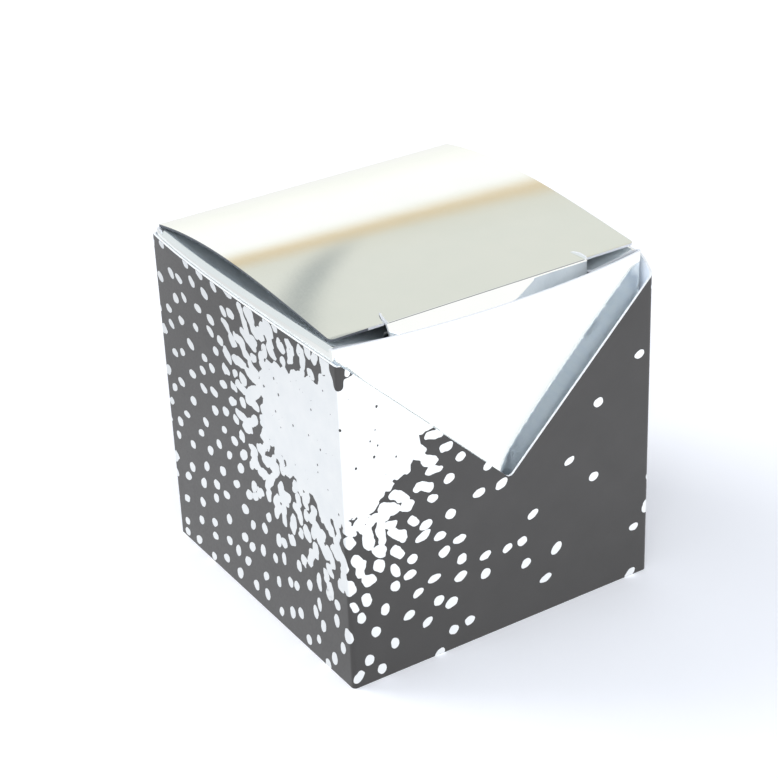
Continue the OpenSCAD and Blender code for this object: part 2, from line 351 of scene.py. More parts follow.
def node(tree, kind, inputs=None, **settings):
    """Adds a node, sets it and links or fills its inputs."""
    made = tree.nodes.new(kind)
    for name, value in settings.items():
        setattr(made, name, value)
    for name, value in (inputs or {}).items():
        if isinstance(value, bpy.types.NodeSocket):
            tree.links.new(value, made.inputs[name])
        else:
            made.inputs[name].default_value = value
    return made


def new_material(name, **sockets):
    """A Principled material with its constant sockets set, and its shader."""
    material = bpy.data.materials.new(name)
    material.use_nodes = True
    shader = material.node_tree.nodes["Principled BSDF"]
    for socket, value in sockets.items():
        shader.inputs[socket.replace("_", " ")].default_value = value
    return material, shader


def grain(tree, size_mm, detail, stretch=(1.0, 1.0, 1.0)):
    """Noise whose features are about size_mm wide, on Object coordinates."""
    place = node(tree, "ShaderNodeTexCoord").outputs["Object"]
    turned = node(tree, "ShaderNodeMapping", {"Vector": place, "Scale": stretch}).outputs["Vector"]
    return node(tree, "ShaderNodeTexNoise", {
        "Vector": turned, "Scale": 1.0 / (size_mm * MM), "Detail": detail, "Roughness": 0.55,
    })


def uneven(shader, socket, size_mm, detail, low, high):
    """Lets a socket's level, or hex colour, wander between two with a noise."""
    tree = shader.id_data
    coloured = isinstance(low, str)
    share = node(tree, "ShaderNodeMapRange", {
        "Value": grain(tree, size_mm, detail).outputs["Fac"], "From Min": 0.3, "From Max": 0.7,
        "To Min": 0.0 if coloured else low, "To Max": 1.0 if coloured else high,
    }).outputs["Result"]
    if coloured:
        share = node(tree, "ShaderNodeMix", {
            "Factor": share, "A": linear(low), "B": linear(high)}, data_type="RGBA").outputs["Result"]
    tree.links.new(share, shader.inputs[socket])


def levels_along(tree, place, stops):
    """Grey level or hex colour by place along an axis, from stops of (place, level)."""
    start, end = stops[0][0], stops[-1][0]
    share = node(tree, "ShaderNodeMapRange", {"Value": place, "From Min": start, "From Max": end})
    made = node(tree, "ShaderNodeValToRGB", {"Fac": share.outputs["Result"]})
    elements = made.color_ramp.elements
    stops = [((at - start) / (end - start), level) for at, level in stops]
    for at, _ in stops[2:]:
        elements.new(at)
    for element, (at, level) in zip(elements, stops):
        element.position = at
        element.color = linear(level) if isinstance(level, str) else (level, level, level, 1.0)
    return made.outputs["Color"]


def bumps(shader, *noises):
    """Bump from several noises of (size in mm, detail, height in mm, stretch), one after the other."""
    tree, normal = shader.id_data, None
    for size_mm, detail, height_mm, *stretch in noises:
        height = grain(tree, size_mm, detail, *stretch).outputs["Fac"]
        inputs = {"Height": height, "Distance": height_mm * MM}
        if normal is not None:
            inputs["Normal"] = normal
        normal = node(tree, "ShaderNodeBump", inputs).outputs["Normal"]
    tree.links.new(normal, shader.inputs["Normal"])


def printed_black():
    """Coated board, offset printed black and laminated with polyester film: a dark satin face
    that takes a veil of light from the white room round it."""
    material, shader = new_material("black_laminated_board", IOR=1.6, Metallic=0.0)
    uneven(shader, "Base Color", 6.0, 2.0, "302e2d", "363433")
    uneven(shader, "Roughness", 0.35, 1.0, 0.30, 0.38)
    bumps(shader, (0.5, 1.0, 0.0015))
    return material


def silver_foil():
    """Hot-stamped silver foil: a bright metal film, a little soft from the board's fibres."""
    material, shader = new_material("stamped_silver_foil", Metallic=1.0)
    uneven(shader, "Base Color", 3.0, 2.0, "f1f4f6", "f7f9fa")
    uneven(shader, "Roughness", 0.25, 3.0, 0.30, 0.42)
    bumps(shader, (0.4, 2.0, 0.002))
    return material


def mirror_board():
    """Metallised polyester film on board: a mirror that the board's fibres soften, with the
    slight orange peel of the glue under the film."""
    material, shader = new_material("mirror_film_board", Metallic=1.0)
    uneven(shader, "Base Color", 8.0, 2.0, "f1f3f0", "f4f5f2")
    uneven(shader, "Roughness", 0.3, 2.0, 0.05, 0.08)
    bumps(shader, (7.0, 1.0, 0.006), (0.6, 2.0, 0.0008))
    return material


def board_back(name, low, high):
    """Uncoated back of a board: matt, with short fibres. The printed board's back is white with a blue tint
    that is painted light: it stands in for the cool shade in the gaps it faces. The mirror board's is a
    little greyer pulp."""
    material, shader = new_material(name, Metallic=0.0, Roughness=0.85)
    uneven(shader, "Base Color", 1.2, 2.0, low, high)
    bumps(shader, (0.25, 3.0, 0.01, (1.0, 1.0, 0.4)))
    return material


def cut_edge(name, low, high):
    """Die-cut edge of a board: bare pulp in thin layers, white on the printed board, greyer on the mirror
    one. Along the lid's sides and left shoulder the edge is painted dark grey, as painted shade."""
    material, shader = new_material(name, Metallic=0.0, Roughness=0.9)
    uneven(shader, "Base Color", 0.12, 1.0, low, high)
    bumps(shader, (0.15, 1.0, 0.008))
    return material


# The sleeve

def upright(p, w):
    """Plan path, card standing up."""
    return np.column_stack([p[:, 0], p[:, 1], w])


half_w, half_d = SLEEVE_W / 2, SLEEVE_D / 2
glue_line = half_d - CARD_T
sleeve_path = folded_path([
    (half_w - CARD_T - SLEEVE_GLUE_W, glue_line), (half_w, glue_line), (half_w, -half_d),
    (-half_w, -half_d), (-half_w, half_d), (half_w - 0.05, half_d),
], SLEEVE_FOLD_R)
s_near_fold = sleeve_path.nearest((-half_w + FOLD_MIDDLE, -half_d + FOLD_MIDDLE))
s_front = sleeve_path.nearest((half_w - SLEEVE_FOLD_R, -half_d))
NOTCH_HALF_W = SLEEVE_W / 2 + NOTCH_SHIFT
NOTCH_SLOPE = NOTCH_DROP / NOTCH_HALF_W
NOTCH_TIP_Z = SLEEVE_H - NOTCH_DROP


def s_of_x(x):
    """Distance along the sleeve's path of a place on its front face."""
    return s_front + half_w - SLEEVE_FOLD_R - x


def top_edge(u):
    """Height of the sleeve's cut edge at a distance from the near fold, left wall below 0."""
    left = SLEEVE_H - NEAR_DROP * np.clip(1 + u / SLEEVE_D, 0, 1)
    front = NOTCH_TIP_Z + NOTCH_SLOPE * np.abs(u - half_w - NOTCH_SHIFT)
    return np.where(u < 0, left, np.minimum(front, SLEEVE_H))


def left_bow(wall_at, x, y, z):
    """How far a left wall bows out, most of all at its free top edge."""
    along = np.clip((half_d - y) / SLEEVE_D, 0, 1)
    on_left = np.clip((wall_at + 1.2 - x) / 0.6, 0, 1)
    return SIDE_BOW * on_left * np.sin(math.pi * along ** 0.7) * np.clip(z / SLEEVE_H, 0, 1) ** 2.5


def sleeve_bow(points):
    """Outward bow of the sleeve's left wall and of the foil on it."""
    bow = left_bow(-half_w, *points.T)
    return np.column_stack([-bow, 0 * bow, 0 * bow])


def notch_points():
    """The V from its left end to its right end, its point rounded."""
    leg = math.atan(NOTCH_SLOPE)
    centre_z = NOTCH_TIP_Z + NOTCH_TIP_R / math.cos(leg)
    tip = []
    for i in range(9):
        angle = 1.5 * math.pi - leg + 2 * leg * i / 8
        tip.append((NOTCH_SHIFT + NOTCH_TIP_R * math.cos(angle), centre_z + NOTCH_TIP_R * math.sin(angle)))
    near = (NOTCH_SHIFT - NOTCH_HALF_W + NEAR_DROP / NOTCH_SLOPE, SLEEVE_H - NEAR_DROP)
    far = [(NOTCH_SHIFT + NOTCH_HALF_W - 0.5, SLEEVE_H - 0.6), (NOTCH_SHIFT + NOTCH_HALF_W + 0.6, SLEEVE_H)]
    return [(s_of_x(x), z) for x, z in [near] + tip + far]


def sleeve_outline():
    """The sleeve's blank, from the slanted glue flap to the back wall's free end."""
    s_glue_fold = sleeve_path.nearest((half_w - FOLD_MIDDLE, glue_line - FOLD_MIDDLE))
    slant = 2.0
    bottom = [(0.0, slant), (SLEEVE_GLUE_W - 1.0, 0.4), (s_glue_fold, 0.0), (sleeve_path.length, 0.0)]
    s_back_fold = sleeve_path.nearest((-half_w + FOLD_MIDDLE, half_d - FOLD_MIDDLE))
    top = [(sleeve_path.length, SLEEVE_H), (s_back_fold, SLEEVE_H), (s_near_fold, SLEEVE_H - NEAR_DROP)]
    top += notch_points()
    glue = [(s_glue_fold, SLEEVE_H), (SLEEVE_GLUE_W - 1.0, SLEEVE_H - 0.4), (0.0, SLEEVE_H - slant)]
    return bottom + top + glue


# The print: a burst of specks round the near left fold, in the sleeve's flat blank

def value_noise(u, v, size, seed):
    """Smooth noise from -1 to 1 with features about size wide."""
    table = np.random.RandomState(seed).uniform(-1, 1, (64, 64))
    a, b = u / size, v / size
    i, j = np.floor(a).astype(int), np.floor(b).astype(int)
    fa, fb = a - i, b - j
    fa, fb = ease(fa), ease(fb)
    pick = lambda di, dj: table[(i + di) % 64, (j + dj) % 64]
    low = pick(0, 0) * (1 - fa) + pick(1, 0) * fa
    high = pick(0, 1) * (1 - fa) + pick(1, 1) * fa
    return low * (1 - fb) + high * fb


def scatter_specks():
    """Rows of (u, v, heading, half length, half width, squareness): a sunflower spiral with
    some scatter, crowded in a ring round the solid patch and rarer far out to the right."""
    rng = np.random.RandomState(BURST_SEED)
    golden = math.radians(137.508)
    rows, r, n = [], SPIRAL_FROM, 0
    while r < SPIRAL_TO:
        room = np.interp(r, [8, 15, 22, 29, 60], [3.6, 4.4, 7.5, 13.0, 17.0])
        r += room / (2 * math.pi * r)
        n += 1
        angle = n * golden
        u = BURST_U + r * math.cos(angle) + rng.normal(0, 0.5)
        v = BURST_Z + r * math.sin(angle) + rng.normal(0, 0.5)
        chance, size, slim, veer, square = rng.uniform(size=5)
        keep = np.interp(u, [-76, -46, 6, 14, 24, 34, 50, 66], [0.0, 1.0, 1.0, 0.86, 0.5, 0.3, 0.3, 0.0])
        keep *= np.interp(v, [0, 4], [0.75, 1.0]) if u > 12 else 1.0
        if chance > keep:
            continue
        near = max(0.0, 1.0 - abs(r - 17.0) / 8.0)
        half_l = 0.80 + 0.32 * size + near * (0.1 + 1.2 * size * size)
        half_w = 0.57 + 0.20 * slim + near * 0.14
        heading = math.atan2(v - BURST_Z, u - BURST_U) + (veer - 0.5) * (0.7 + 0.8 * near)
        if u > 8 and r > 23:
            heading = math.radians(FAR_SPECK_SLANT) + (veer - 0.5) * 0.8
        rows.append((u, v, heading, half_l, half_w, 2.0 + 1.3 * square))
    return np.array(rows)


def print_field(u, v, specks):
    """Height field in millimetres: foil where it is above 0, none at the near fold's top."""
    warp_u = u + 0.30 * value_noise(u, v, 1.3, 3) + 0.12 * value_noise(u, v, 0.5, 4)
    warp_v = v + 0.30 * value_noise(u, v, 1.3, 5) + 0.12 * value_noise(u, v, 0.5, 6)
    field = np.full(u.shape, -1.0)
    step = u[0, 1] - u[0, 0]
    for su, sv, heading, half_l, half_w, square in specks:
        reach = half_l * 1.2 + 0.8
        i0, i1 = (int((sv + k * reach - v[0, 0]) / step) for k in (-1, 1))
        j0, j1 = (int((su + k * reach - u[0, 0]) / step) for k in (-1, 1))
        window = (slice(max(i0, 0), max(i1, 0)), slice(max(j0, 0), max(j1, 0)))
        du, dv = warp_u[window] - su, warp_v[window] - sv
        along = np.abs(du * math.cos(heading) + dv * math.sin(heading)) / half_l
        across = np.abs(dv * math.cos(heading) - du * math.sin(heading)) / half_w
        blob = (1.0 - (along ** square + across ** square) ** (1 / square)) * half_w
        field[window] = np.maximum(field[window], blob)
    field = np.maximum(field, np.clip(solid_patch(u, v), -1.0, 1.0))
    bare = np.hypot((u + 0.1) / BARE_HALF_W, (v - SLEEVE_H) / BARE_DROP) - 1.0
    return np.minimum(field, 2.4 * bare + 0.5 * value_noise(u, v, 1.2, 10))


def solid_patch(u, v):
    """The burst's heart: a lopsided round with a rim torn outward."""
    r = np.hypot(u - BURST_U, v - BURST_Z)
    angle = np.arctan2(v - BURST_Z, u - BURST_U)
    size = 11.6 + 0.8 * np.cos(angle) + 2.4 * np.cos(2 * angle) - 1.2 * np.sin(angle)
    size += 8.0 * np.clip(np.cos(angle - 0.45), 0, 1) ** 4
    torn = 1.7 * value_noise(angle * 6.0 + 40, r * 0.2, 1.0, 7) + 0.9 * value_noise(u, v, 1.8, 8)
    torn += 0.35 * value_noise(u, v, 0.6, 9)
    return size + torn - r


def pinholes(u, v, field):
    """Takes small dark specks out of the solid patch, most of them near its rim."""
    rng = np.random.RandomState(BURST_SEED + 1)
    step = u[0, 1] - u[0, 0]
    for _ in range(75):
        angle = rng.uniform(0, 2 * math.pi)
        r = 15.0 * rng.uniform() ** 0.6
        size = 0.06 + 0.12 * rng.uniform() ** 3 + 0.003 * r
        su, sv = BURST_U + r * math.cos(angle), BURST_Z + r * math.sin(angle)
        i, j = int((sv - v[0, 0]) / step), int((su - u[0, 0]) / step)
        window = (slice(max(i - 4, 0), max(i + 6, 0)), slice(max(j - 4, 0), max(j + 6, 0)))
        hole = np.hypot(u[window] - su, (v[window] - sv) * 0.8) - size
        field[window] = np.minimum(field[window], hole)
    return field


def contour_mesh(u, v, field):
    """Triangles of the region where a field on a square grid is above 0."""
    rows, cols = field.shape
    field = np.where(np.abs(field) < 1e-4, -1e-4, field)
    points, index = [], {}

    def corner(i, j):
        return vertex(("c", i, j), (u[i, j], v[i, j]))

    def crossing(a, b):
        key = ("e",) + tuple(sorted([a, b]))
        fa, fb = field[a], field[b]
        t = min(max(fa / (fa - fb), 0.04), 0.96)
        return vertex(key, (u[a] + (u[b] - u[a]) * t, v[a] + (v[b] - v[a]) * t))

    def vertex(key, place):
        if key not in index:
            index[key] = len(points)
            points.append(place)
        return index[key]

    faces = []
    above = field > 0
    some = above[:-1, :-1] | above[1:, :-1] | above[:-1, 1:] | above[1:, 1:]
    for i, j in zip(*np.nonzero(some)):
        ring = [(i, j), (i, j + 1), (i + 1, j + 1), (i + 1, j)]
        inside_ring = [above[c] for c in ring]
        if all(inside_ring):
            faces.append([corner(*c) for c in ring])
            continue
        chains, chain = [], []
        start = next(k for k in range(4) if inside_ring[k] and not inside_ring[k - 1])
        for k in range(start, start + 4):
            before, here, following = (ring[(k + step) % 4] for step in (-1, 0, 1))
            if above[here]:
                if not above[before]:
                    chain = [crossing(before, here)]
                chain.append(corner(*here))
                if not above[following]:
                    chain.append(crossing(here, following))
                    chains.append(chain)
        faces += chains
    return np.array(points), faces


def foil_from_flat(points, faces):
    """A closed film of foil on the sleeve from flat faces in (u, v)."""
    p, n = sleeve_path.at(s_near_fold - points[:, 0])
    top = upright(p + n * FOIL_T, points[:, 1])
    under = upright(p + n * FOIL_T * 0.1, points[:, 1])
    top, under = top + sleeve_bow(top), under + sleeve_bow(top)
    edges = dict.fromkeys(edge for f in faces for edge in zip(f, f[1:] + f[:1]))
    rim = [(a, b) for a, b in edges if (b, a) not in edges]
    count = len(points)
    sides = [[b, a, a + count, b + count] for a, b in rim]
    lower = [[i + count for i in f[::-1]] for f in faces]
    return {
        "points": np.concatenate([top, under]),
        "faces": list(faces) + lower + sides,
        "slots": [0] * (2 * len(faces) + len(sides)),
        "flat": np.concatenate([points, points]),
    }


def crowded(specks):
    """Which specks are drawn in a field: all near the middle, and all that cross a fold."""
    r = np.hypot(specks[:, 0] - BURST_U, specks[:, 1] - BURST_Z)
    by_fold = [np.abs(specks[:, 0] - fold) < FOLD_STRIP - 1.6 for fold in (0.0,) + FAR_FOLDS]
    return (r < CROWD_REACH - 2.0) | np.any(by_fold, axis=0)


def burst_films(specks):
    """The solid patch and the specks that run together, and those that cross the far folds."""
    films = []
    drawn = specks[crowded(specks)]
    spans = [(BURST_U - CROWD_REACH - 1.0, BURST_U + CROWD_REACH + 1.0)]
    spans += [(fold - FOLD_STRIP, fold + FOLD_STRIP) for fold in FAR_FOLDS]
    for start, end in spans:
        u, v = np.meshgrid(np.arange(start, end, FIELD_STEP), np.arange(-0.2, SLEEVE_H + 0.2, FIELD_STEP))
        inside_span = (drawn[:, 0] > start + 1.5) & (drawn[:, 0] < end - 1.5)
        field = pinholes(u, v, print_field(u, v, drawn[inside_span]))
        field = np.minimum(field, np.minimum(top_edge(u) - v, v) - 0.02)
        films.append(foil_from_flat(*contour_mesh(u, v, field)))
    return films


def speck_tree():
    """Node tree that lays one thin irregular disc on every point of a scatter."""
    tree = bpy.data.node_groups.new("silver_specks", "GeometryNodeTree")
    sockets = tree.interface.new_socket
    sockets("Scatter", in_out="INPUT", socket_type="NodeSocketGeometry")
    for name, kind, value in [
        ("Corners", "NodeSocketInt", 18), ("Unevenness", "NodeSocketFloat", 0.5),
        ("Unevenness Size", "NodeSocketFloat", 1.1), ("Seed", "NodeSocketFloat", 2.0),
        ("Foil", "NodeSocketMaterial", None),
    ]:
        made = sockets(name, in_out="INPUT", socket_type=kind)
        if value is not None:
            made.default_value = value
    sockets("Specks", in_out="OUTPUT", socket_type="NodeSocketGeometry")
    given = tree.nodes.new("NodeGroupInput").outputs
    turn = node(tree, "GeometryNodeInputNamedAttribute", {"Name": "turn"}, data_type="FLOAT_VECTOR")
    size = node(tree, "GeometryNodeInputNamedAttribute", {"Name": "size"}, data_type="FLOAT_VECTOR")
    disc = node(tree, "GeometryNodeMeshCylinder", {
        "Vertices": given["Corners"], "Radius": 1.0, "Depth": 1.0,
    })
    laid = node(tree, "GeometryNodeInstanceOnPoints", {
        "Points": given["Scatter"], "Instance": disc.outputs["Mesh"],
        "Rotation": turn.outputs["Attribute"], "Scale": size.outputs["Attribute"],
    })
    real = node(tree, "GeometryNodeRealizeInstances", {"Geometry": laid.outputs["Instances"]})
    place = node(tree, "GeometryNodeInputPosition").outputs["Position"]
    flat = node(tree, "ShaderNodeVectorMath", {0: place, 1: (1.0, 1.0, 0.0)}, operation="MULTIPLY")
    noise = node(tree, "ShaderNodeTexNoise", {
        "Vector": flat.outputs["Vector"], "W": given["Seed"],
        "Scale": node(tree, "ShaderNodeMath", {0: 1.0, 1: given["Unevenness Size"]},
                      operation="DIVIDE").outputs["Value"], "Detail": 1.0,
    }, noise_dimensions="4D")
    centred = node(tree, "ShaderNodeVectorMath", {
        0: noise.outputs["Color"], 1: (0.5, 0.5, 0.5)}, operation="SUBTRACT")
    level = node(tree, "ShaderNodeVectorMath", {
        0: centred.outputs["Vector"], 1: (1.0, 1.0, 0.0)}, operation="MULTIPLY")
    pushed = node(tree, "ShaderNodeVectorMath", {
        0: level.outputs["Vector"], "Scale": given["Unevenness"]}, operation="SCALE")
    moved = node(tree, "GeometryNodeSetPosition", {
        "Geometry": real.outputs["Geometry"], "Offset": pushed.outputs["Vector"]})
    dressed = node(tree, "GeometryNodeSetMaterial", {
        "Geometry": moved.outputs["Geometry"], "Material": given["Foil"]})
    end = tree.nodes.new("NodeGroupOutput")
    tree.links.new(dressed.outputs["Geometry"], end.inputs["Specks"])
    return tree


def set_input(modifier, name, value):
    """Sets a modifier's input by its socket's identifier."""
    for item in modifier.node_group.interface.items_tree:
        if item.item_type == "SOCKET" and item.in_out == "INPUT" and item.name == name:
            modifier[item.identifier] = value


def far_specks(specks, foil):
    """The lone specks, laid out flat by the node tree and then carried onto the sleeve. One that
    meets a cut edge ends there."""
    specks = specks[~crowded(specks)]
    specks = specks[(specks[:, 1] > -0.3) & (specks[:, 1] < top_edge(specks[:, 0]) + 0.2)]
    none = np.zeros(len(specks))
    mesh = bpy.data.meshes.new("speck_scatter")
    mesh.from_pydata([(row[0], row[1], 0.0) for row in specks], [], [])
    for name, columns in [
        ("turn", [none, none, specks[:, 2]]), ("size", [specks[:, 3], specks[:, 4], none + 1]),
    ]:
        made = mesh.attributes.new(name, "FLOAT_VECTOR", "POINT")
        made.data.foreach_set("vector", np.column_stack(columns).ravel())
    scatter = add_object("speck_scatter", mesh)
    modifier = scatter.modifiers.new("silver_specks", "NODES")
    modifier.node_group = speck_tree()
    set_input(modifier, "Foil", foil)
    laid = bpy.data.meshes.new_from_object(scatter.evaluated_get(bpy.context.evaluated_depsgraph_get()))
    points = np.array([tuple(vertex.co) for vertex in laid.vertices])
    faces = [list(polygon.vertices) for polygon in laid.polygons]
    bpy.data.objects.remove(scatter)
    bpy.data.meshes.remove(laid)
    points[:, 1] = np.clip(points[:, 1], 0.03, top_edge(points[:, 0]) - 0.03)
    p, n = sleeve_path.at(s_near_fold - points[:, 0])
    lift = np.where(points[:, 2] > 0, FOIL_T, FOIL_T * 0.1)[:, None]
    placed = upright(p + n * lift, points[:, 1])
    return {
        "points": placed + sleeve_bow(placed),
        "faces": faces,
        "slots": [0] * len(faces),
        "flat": points[:, :2],
    }


# The inner box

def box_path():
    """Round the four walls, from the glue flap inside the back one to the back wall's end."""
    x, back = BOX_W / 2, BOX_BACK_HALF_W
    glue = BOX_BACK - CARD_T
    return folded_path([
        (back - CARD_T - BOX_GLUE_W, glue), (back, glue), (x, BOX_FRONT_RIGHT), (BOX_LEFT, BOX_FRONT_LEFT),
        (BOX_LEFT, BOX_BACK), (back - 0.05, BOX_BACK),
    ], BOX_FOLD_R)


def wall_x(side, y):
    """Where a side wall stands at a place along it."""
    if side < 0:
        return np.full(np.shape(y), BOX_LEFT)
    return np.interp(y, [-23.2, BOX_BACK], [BOX_W / 2, BOX_BACK_HALF_W])


def box_bow(points):
    """Bow of the front wall out through the V, pressed on the V's left leg, and of the left
    wall with the sleeve's."""
    x, y, z = points.T
    rise = np.clip((z - NOTCH_TIP_Z) / (BOX_H - NOTCH_TIP_Z), 0, 1)
    reach = np.clip(0.95 * (z - NOTCH_TIP_Z) / NOTCH_SLOPE, 0.1, BOX_W / 2 + 0.2)
    inset = np.where(x > RIM_BOW_X, RIGHT_FLANK_INSET * (1 - rise), 0.0)
    side = np.abs((x - RIM_BOW_X) / np.maximum(reach - inset, 0.1))
    bow = RIM_BOW * rise * np.clip(1 - side ** RIM_BOW_POWER, 0, 1)
    pressed = np.clip((reach - x + RIM_BOW_X) / (2 * reach), 0, 1) * np.clip((x + 24.5) / 4, 0, 1)
    pressed *= ease(np.clip((BOX_H - z) / LEG_PRESS_FADE, 0, 1))
    on_front = np.clip((FRONT_INNER_Y - y) / 0.3, 0, 1)
    return np.column_stack([-left_bow(BOX_LEFT, x, y, z), -on_front * (bow + LEG_PRESS * pressed), 0 * x])


def box_walls():
    """The four walls and the glue flap, cut down beside each dust flap's fold."""
    path = box_path()
    s_glue = path.nearest((BOX_BACK_HALF_W - 0.13, BOX_BACK - CARD_T - 0.13))
    fold_top = BOX_H - DUST_FOLD_DROP
    dust_front, dust_back = dust_ends()
    outline = [(0.0, 2.0), (BOX_GLUE_W - 0.6, 0.5), (s_glue, 0.0), (path.length, 0.0), (path.length, BOX_H)]
    for side, ys in ((-1, (dust_back, dust_front)), (1, (dust_front, dust_back))):
        s0, s1 = (path.nearest((float(wall_x(side, y)), y)) for y in ys)
        outline += [(s0, BOX_H), (s0, fold_top), (s1, fold_top), (s1, BOX_H)]
    outline += [(s_glue, BOX_H), (BOX_GLUE_W - 0.6, BOX_H - 0.5), (0.0, BOX_H - 2.0)]
    return card(path, upright, outline, shift=box_bow, w_step=1.2, s_step=1.2)


def dust_ends():
    """Where a dust flap's fold starts and ends along the side wall."""
    return DUST_FRONT_Y, BOX_BACK - CARD_T - DUST_BACK_GAP


def dust_flap(side):
    """One dust flap: up the top of the side wall, over a shoulder between two score lines and
    in over the box."""
    end = (-DUST_REACH, BOX_H - DUST_SLOPE * (DUST_REACH - SCORE_W))
    path = folded_path([
        (0.0, BOX_H - DUST_FOLD_DROP), (0.0, BOX_H - SCORE_DROP), (-SCORE_W, BOX_H), end,
    ], SCORE_R, arc_steps=4, margin=0.08)
    path = Path(path.p, -path.n) if path.n[0][0] < 0 else path
    front, back = dust_ends()
    total, tip = path.length, DUST_TIP
    neck = CREASE_Y + CARD_T + TONGUE_AIR
    shoulder = DUST_FOLD_DROP + DUST_SHOULDER
    outline = [
        (0.0, front), (shoulder, front), (shoulder + 1.2, neck), (total - tip, neck + 1.2),
        (total, neck + 2 * tip), (total, back - 2 * tip), (total - tip, back - 1.2), (3.4, back), (0.0, back),
    ]

    def place(p, w):
        """Puts the flap's section on its wall, bowed as the wall is and straight at its free end."""
        wall = wall_x(side, w)
        bow = left_bow(BOX_LEFT, wall, w, np.full(len(w), BOX_H)) * np.clip(1 + p[:, 0] / DUST_REACH, 0, 1)
        return np.column_stack([wall + side * p[:, 0] + side * bow, w, p[:, 1]])

    return card(path, place, outline, w_step=2.0, s_step=2.0)


def box_base():
    """The base with its tongue up inside the front wall, and the two flaps that lie on it."""
    front, tip = FRONT_INNER_Y, BASE_TIP
    path = folded_path([(BOX_BACK - CARD_T - 0.05, 0.0), (front, 0.0), (front, BASE_TUCK_H)], CREASE_R)
    if path.n[0][1] > 0:
        path = Path(path.p, -path.n)
    x = BOX_W / 2 - CARD_T - 0.05
    s_crease = path.nearest((front + 0.12, 0.12))
    total = path.length
    outline = [
        (0.0, -x), (s_crease, -x), (s_crease, -TUCK_HALF_W), (total - tip, -TUCK_HALF_W),
        (total, -TUCK_HALF_W + tip), (total, TUCK_HALF_W - tip), (total - tip, TUCK_HALF_W),
        (s_crease, TUCK_HALF_W), (s_crease, x), (0.0, x),
    ]
    lengthways = lambda p, w: np.column_stack([w, p[:, 0], p[:, 1]])
    parts = [card(path, lengthways, outline, w_step=6.0, s_step=6.0)]
    for side in (-1, 1):
        reach = Path([(x, CARD_T + 0.02), (x - BASE_REACH, CARD_T + 0.02)], [(0, -1), (0, -1)])
        flap = [(0.0, -20.5), (6.0, -20.5), (BASE_REACH, -16.0), (BASE_REACH, 18.0), (5.0, 21.5), (0.0, 21.5)]
        across = lambda p, w, side=side: np.column_stack([side * p[:, 0], w, p[:, 1]])
        parts.append(card(reach, across, flap, w_step=6.0, s_step=6.0))
    return parts


# The lid

def lid_path():
    """From the back fold over the arch, round the front crease and down the tongue."""
    points = []
    for s in np.linspace(0.0, 1.0, ARCH_STEPS + 1):
        y = HINGE_Y + (CREASE_Y - HINGE_Y) * s
        z = HINGE_Z + CARD_T / 2 + CREASE_LIFT * s
        z += ARCH_RISE * 4 * s * (1 - s) * (1 + ARCH_LEAN * (0.5 - s))
        if y > CREASE_Y + CREASE_R:
            points.append((y, z))
    top = points[-1][1]
    centre = np.array([CREASE_Y + CREASE_R, top - CREASE_R])
    for i in range(1, 10):
        angle = math.radians(90 + 6 + (84 * i / 9))
        points.append(tuple(centre + CREASE_R * np.array([math.cos(angle), math.sin(angle)])))
    points.append((points[-1][0] - 0.25 * TUCK_SLOPE, points[-1][1] - 0.25))
    points.append((CREASE_Y - TUCK_SLOPE * TUCK_DEPTH, HINGE_Z + CREASE_LIFT - TUCK_DEPTH))
    points = np.array(points)
    ways = np.gradient(points, axis=0)
    normals = np.column_stack([ways[:, 1], -ways[:, 0]])
    normals /= np.linalg.norm(normals, axis=1, keepdims=True)
    if normals[10][1] < 0:
        normals = -normals
    normals[-2] = normals[-1]
    return Path(points, normals)


def arc(centre, radius, start, end, steps=6):
    """Points on an arc, angles in degrees."""
    angles = np.radians(np.linspace(start, end, steps + 1))
    return [(centre[0] + radius * math.cos(a), centre[1] + radius * math.sin(a)) for a in angles]


def flare(points):
    """The tongue's top leans out over its left and middle, where it springs off the front wall."""
    x, y, z = points.T
    depth = np.clip(HINGE_Z + 0.05 - z, 0, TUCK_DEPTH) * (y < CREASE_Y + 1.0)
    reach = TUCK_FLARE * np.interp(depth, [0, 2.8, 4.5, 10], [0, 2.8, 2.9, 1.0])
    for side in (np.clip((9.5 - x) / 8.0, 0, 1), np.clip((x + 17.2) / 3.5, 0, 1)):
        reach *= ease(side)
    return np.column_stack([0 * x, -reach, 0 * x])


def shoulder_edge(path):
    """Distance along the lid's path of the cut that ends its two shoulders, just before the crease."""
    return path.nearest((CREASE_Y + 0.13, HINGE_Z + CARD_T / 2)) - SHOULDER_CUT


def slit_side(q, way):
    """Distance across of one side of a slit, at a share of its length back from the edge."""
    return TUCK_HALF_W - SLIT_HOOK * q * q + way * SLIT_W / 2 * (1 - SLIT_TAPER * q)


def lid_outline(path):
    """Half of the blank, from the hinge's middle round to the tongue's middle, then mirrored."""
    s_edge = shoulder_edge(path)
    total = path.length
    x, r, t = LID_W / 2, LID_CORNER_R, TUCK_CORNER_R
    outer = [(0.0, LID_BACK_W / 2)] + arc((s_edge - r, x - r), r, 90, 0)
    shares = [i / 8 for i in range(9)]
    slit = [(s_edge - SLIT_L * q, slit_side(q, 1)) for q in shares]
    slit += [(s_edge - SLIT_L * q, slit_side(q, -1)) for q in shares[::-1]]
    tongue_x = TUCK_HALF_W - SLIT_W / 2
    tongue = [(s_edge + SHOULDER_CUT + 0.6, tongue_x - 0.1)]
    tongue += arc((total - t, tongue_x - 0.4 - t), t, 90, 0)
    half = outer + slit + tongue
    return half + [(s, -w) for s, w in half[::-1]]


